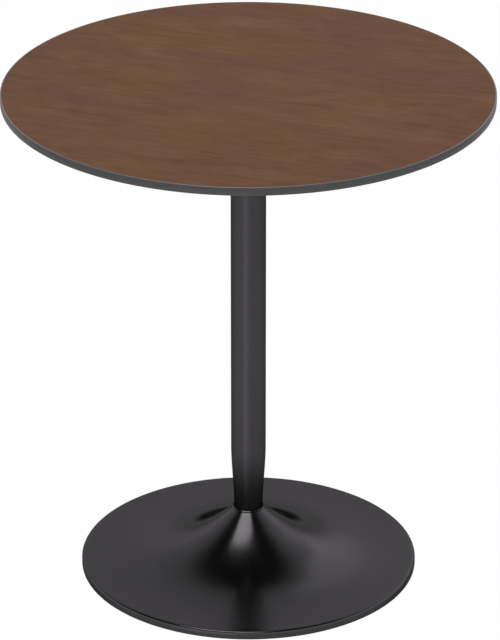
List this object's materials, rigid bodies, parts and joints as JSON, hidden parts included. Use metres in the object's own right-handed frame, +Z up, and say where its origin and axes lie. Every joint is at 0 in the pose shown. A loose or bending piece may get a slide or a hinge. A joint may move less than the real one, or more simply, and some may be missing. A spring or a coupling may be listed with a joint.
{
  "type": "round pedestal dining table",
  "caption": "Round pedestal dining table: thin wood-faced top with a black edge on a black tube column swaged into a trumpet base with levelling glides.",
  "frame": {"origin": "on the floor under the middle of the table", "axes": "+Z up along the column; the front, towards the picture's camera, is -Y"},
  "size_m": [0.7, 0.7, 0.75],
  "materials": {
    "wood_face": "matt brown wood grain",
    "fibre_board": "raw board",
    "black_backing": "matt",
    "black_edge": "satin",
    "black_coat": "satin black",
    "bare_steel": "dull mill finish",
    "zinc_plate": "bright zinc",
    "brass": "turned",
    "pad_plastic": "matt"
  },
  "bodies": {
    "table": {"wood_face": "wood_face", "tabletop_core": "fibre_board", "backing_sheet": "black_backing", "edge_band": "black_edge", "top_plate": "black_coat", "top_hub": "black_coat", "column_tube": "black_coat", "base_shell": "black_coat", "ballast_plate": "bare_steel", "base_hub": "bare_steel", "tie_rod": "zinc_plate", "rod_washer": "zinc_plate", "spring_washer": "zinc_plate", "rod_nut": "zinc_plate", "insert_nut_1": "brass", "plate_screw_1": "zinc_plate", "insert_nut_2": "brass", "plate_screw_2": "zinc_plate", "insert_nut_3": "brass", "plate_screw_3": "zinc_plate", "insert_nut_4": "brass", "plate_screw_4": "zinc_plate", "insert_nut_5": "brass", "plate_screw_5": "zinc_plate", "insert_nut_6": "brass", "plate_screw_6": "zinc_plate", "insert_nut_7": "brass", "plate_screw_7": "zinc_plate", "insert_nut_8": "brass", "plate_screw_8": "zinc_plate", "glide_bush_1": "zinc_plate", "glide_bush_2": "zinc_plate", "glide_bush_3": "zinc_plate", "glide_bush_4": "zinc_plate"},
    "glide_pad_1": {"glide_pad_1": "pad_plastic"},
    "glide_screw_1": {"glide_stud_1": "zinc_plate"},
    "glide_pad_2": {"glide_pad_2": "pad_plastic"},
    "glide_screw_2": {"glide_stud_2": "zinc_plate"},
    "glide_pad_3": {"glide_pad_3": "pad_plastic"},
    "glide_screw_3": {"glide_stud_3": "zinc_plate"},
    "glide_pad_4": {"glide_pad_4": "pad_plastic"},
    "glide_screw_4": {"glide_stud_4": "zinc_plate"}
  },
  "joints": [
    {"name": "glide_1_level", "type": "slide", "parent": "table", "child": "glide_pad_1", "axis": [0, 0, -1], "range_m": [0, 0.003]},
    {"name": "glide_1_turn", "type": "hinge", "parent": "glide_pad_1", "child": "glide_screw_1", "pos_m": [0.14496, 0.14496, 0.005], "axis": [0, 0, -1], "range_deg": [0, 1080]},
    {"name": "glide_2_level", "type": "slide", "parent": "table", "child": "glide_pad_2", "axis": [0, 0, -1], "range_m": [0, 0.003]},
    {"name": "glide_2_turn", "type": "hinge", "parent": "glide_pad_2", "child": "glide_screw_2", "pos_m": [-0.14496, 0.14496, 0.005], "axis": [0, 0, -1], "range_deg": [0, 1080]},
    {"name": "glide_3_level", "type": "slide", "parent": "table", "child": "glide_pad_3", "axis": [0, 0, -1], "range_m": [0, 0.003]},
    {"name": "glide_3_turn", "type": "hinge", "parent": "glide_pad_3", "child": "glide_screw_3", "pos_m": [-0.14496, -0.14496, 0.005], "axis": [0, 0, -1], "range_deg": [0, 1080]},
    {"name": "glide_4_level", "type": "slide", "parent": "table", "child": "glide_pad_4", "axis": [0, 0, -1], "range_m": [0, 0.003]},
    {"name": "glide_4_turn", "type": "hinge", "parent": "glide_pad_4", "child": "glide_screw_4", "pos_m": [0.14496, -0.14496, 0.005], "axis": [0, 0, -1], "range_deg": [0, 1080]}
  ],
  "couplings": [
    {"joint": "glide_1_turn", "follows": "glide_1_level", "rad_per_m": 6283.2},
    {"joint": "glide_2_turn", "follows": "glide_2_level", "rad_per_m": 6283.2},
    {"joint": "glide_3_turn", "follows": "glide_3_level", "rad_per_m": 6283.2},
    {"joint": "glide_4_turn", "follows": "glide_4_level", "rad_per_m": 6283.2}
  ]
}
